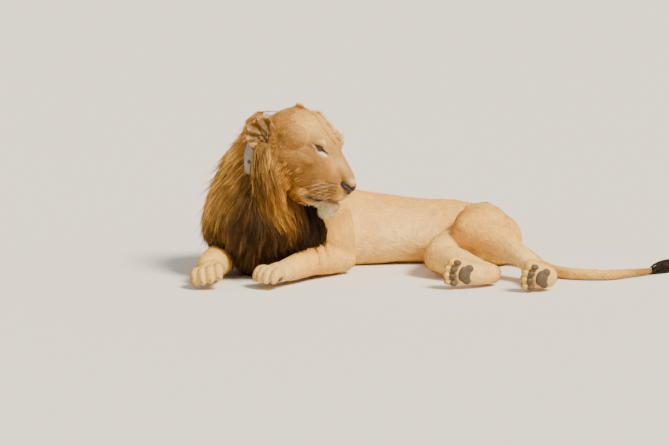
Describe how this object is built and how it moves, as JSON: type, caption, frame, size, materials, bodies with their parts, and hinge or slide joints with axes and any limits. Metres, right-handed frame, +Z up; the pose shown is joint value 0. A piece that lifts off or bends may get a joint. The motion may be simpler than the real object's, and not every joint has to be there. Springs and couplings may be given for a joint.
{
  "type": "lion",
  "caption": "Life-size young male lion lying propped on its elbows, rolled on to one hip, head turned to its left, with a mane and a plain tracking collar.",
  "frame": {"origin": "on the floor under the middle of the whole box", "axes": "+Z up. -Y is the side that the legs, the belly and the face turn to. The rump and the tail lie towards +X, the forequarters towards -X."},
  "size_m": [1.8274, 0.9048, 0.6269],
  "materials": {
    "coat": "short sandy coat, paler on the belly and the paws",
    "mane": "long hair, golden at its edges and dark brown at the throat",
    "eye": "wet amber eye with a dark pupil",
    "bare_skin": "nose pad, lips, lids and foot pads, dark and a little damp",
    "claw": "dark horn",
    "whisker": "stiff pale hair",
    "collar_strap": "worn grey belting",
    "collar_unit": "pale moulded case",
    "collar_stud": "dark rivet"
  },
  "bodies": {
    "root": {"abdomen": "coat", "chest": "coat", "neck": "coat", "rump": "coat", "tail_base": "coat", "tail_middle": "coat", "tail_end": "coat", "head": "coat", "lower_jaw": "coat", "left_ear": "coat", "right_ear": "coat", "left_upper_arm": "coat", "left_forearm": "coat", "left_forepaw": "coat", "right_upper_arm": "coat", "right_forearm": "coat", "right_forepaw": "coat", "left_thigh": "coat", "left_shank": "coat", "left_hind_foot": "coat", "left_hind_paw": "coat", "right_thigh": "coat", "right_shank": "coat", "right_hind_foot": "coat", "right_hind_paw": "coat", "mane": "mane", "tail_tuft": "mane", "left_eye": "eye", "right_eye": "eye", "collar_strap": "collar_strap", "collar_unit": "collar_unit", "collar_stud": "collar_stud"}
  },
  "joints": []
}
